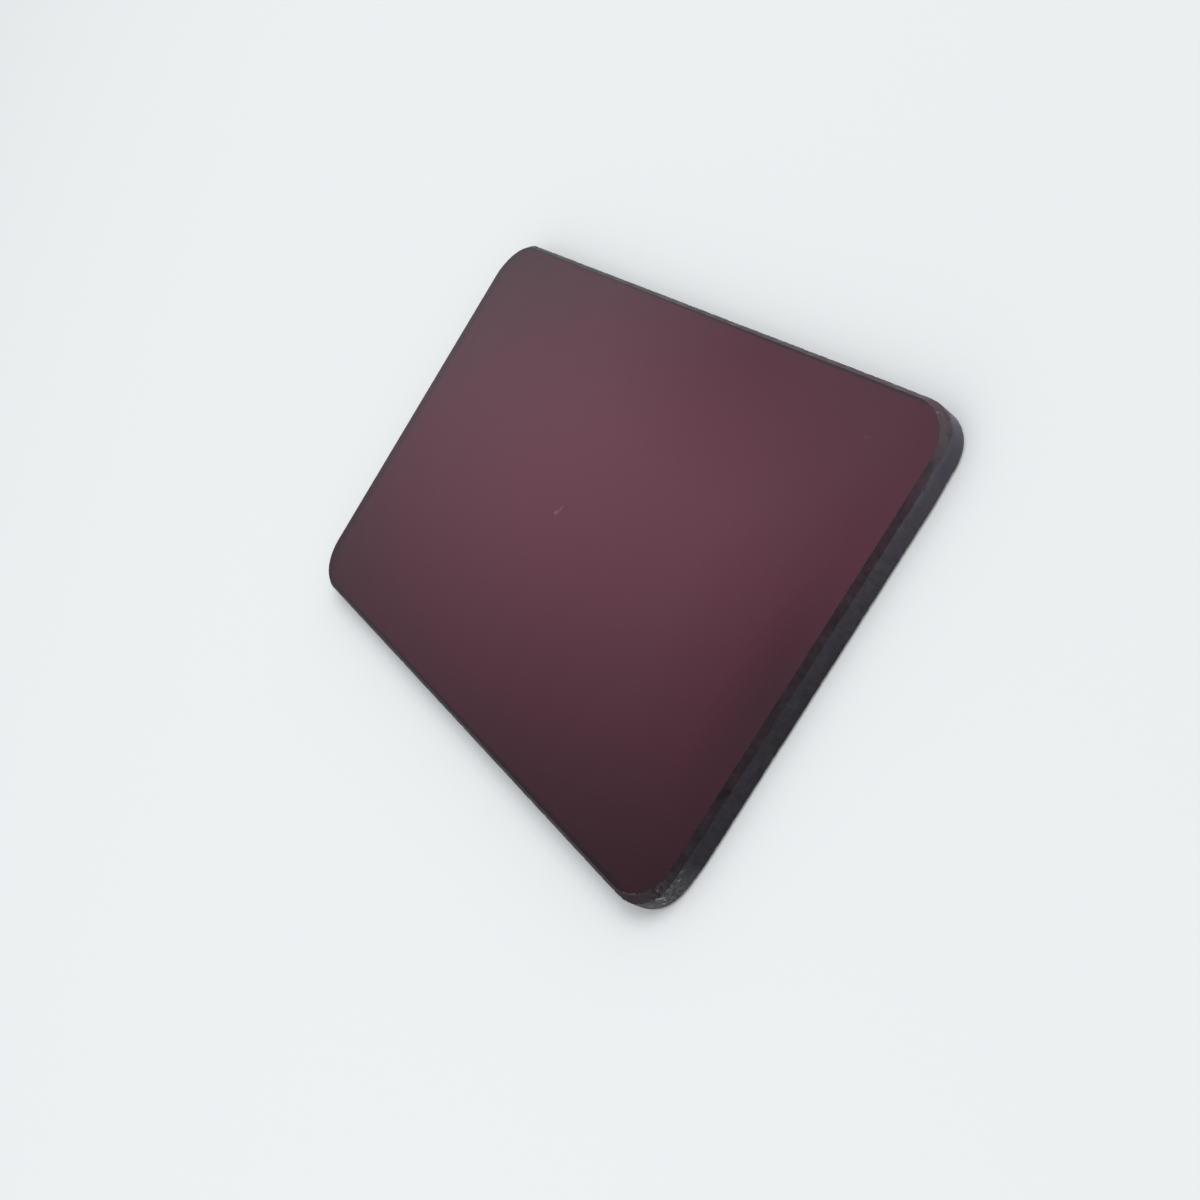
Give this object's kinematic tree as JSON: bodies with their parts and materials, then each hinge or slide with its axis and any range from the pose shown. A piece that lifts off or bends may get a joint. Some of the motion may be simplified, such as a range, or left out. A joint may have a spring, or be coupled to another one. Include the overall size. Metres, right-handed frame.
{
  "type": "coloured glass filter",
  "caption": "Flat rectangular plate of dark wine-red absorbing glass with polished faces, round corners, and a ground edge with an arris along both faces.",
  "frame": {"origin": "middle of the polished back face, which is the face the plate lies on", "axes": "+X along the long side, +Y along the short side, +Z out of the polished front face"},
  "size_m": [0.08, 0.05, 0.003],
  "materials": {
    "wine_red_glass": "dark wine-red absorbing glass, polished on both faces, fine-ground and matt grey on the edge and on both arrises, with tiny chips at the corners"
  },
  "bodies": {
    "root": {"filter_glass": "wine_red_glass"}
  },
  "joints": []
}
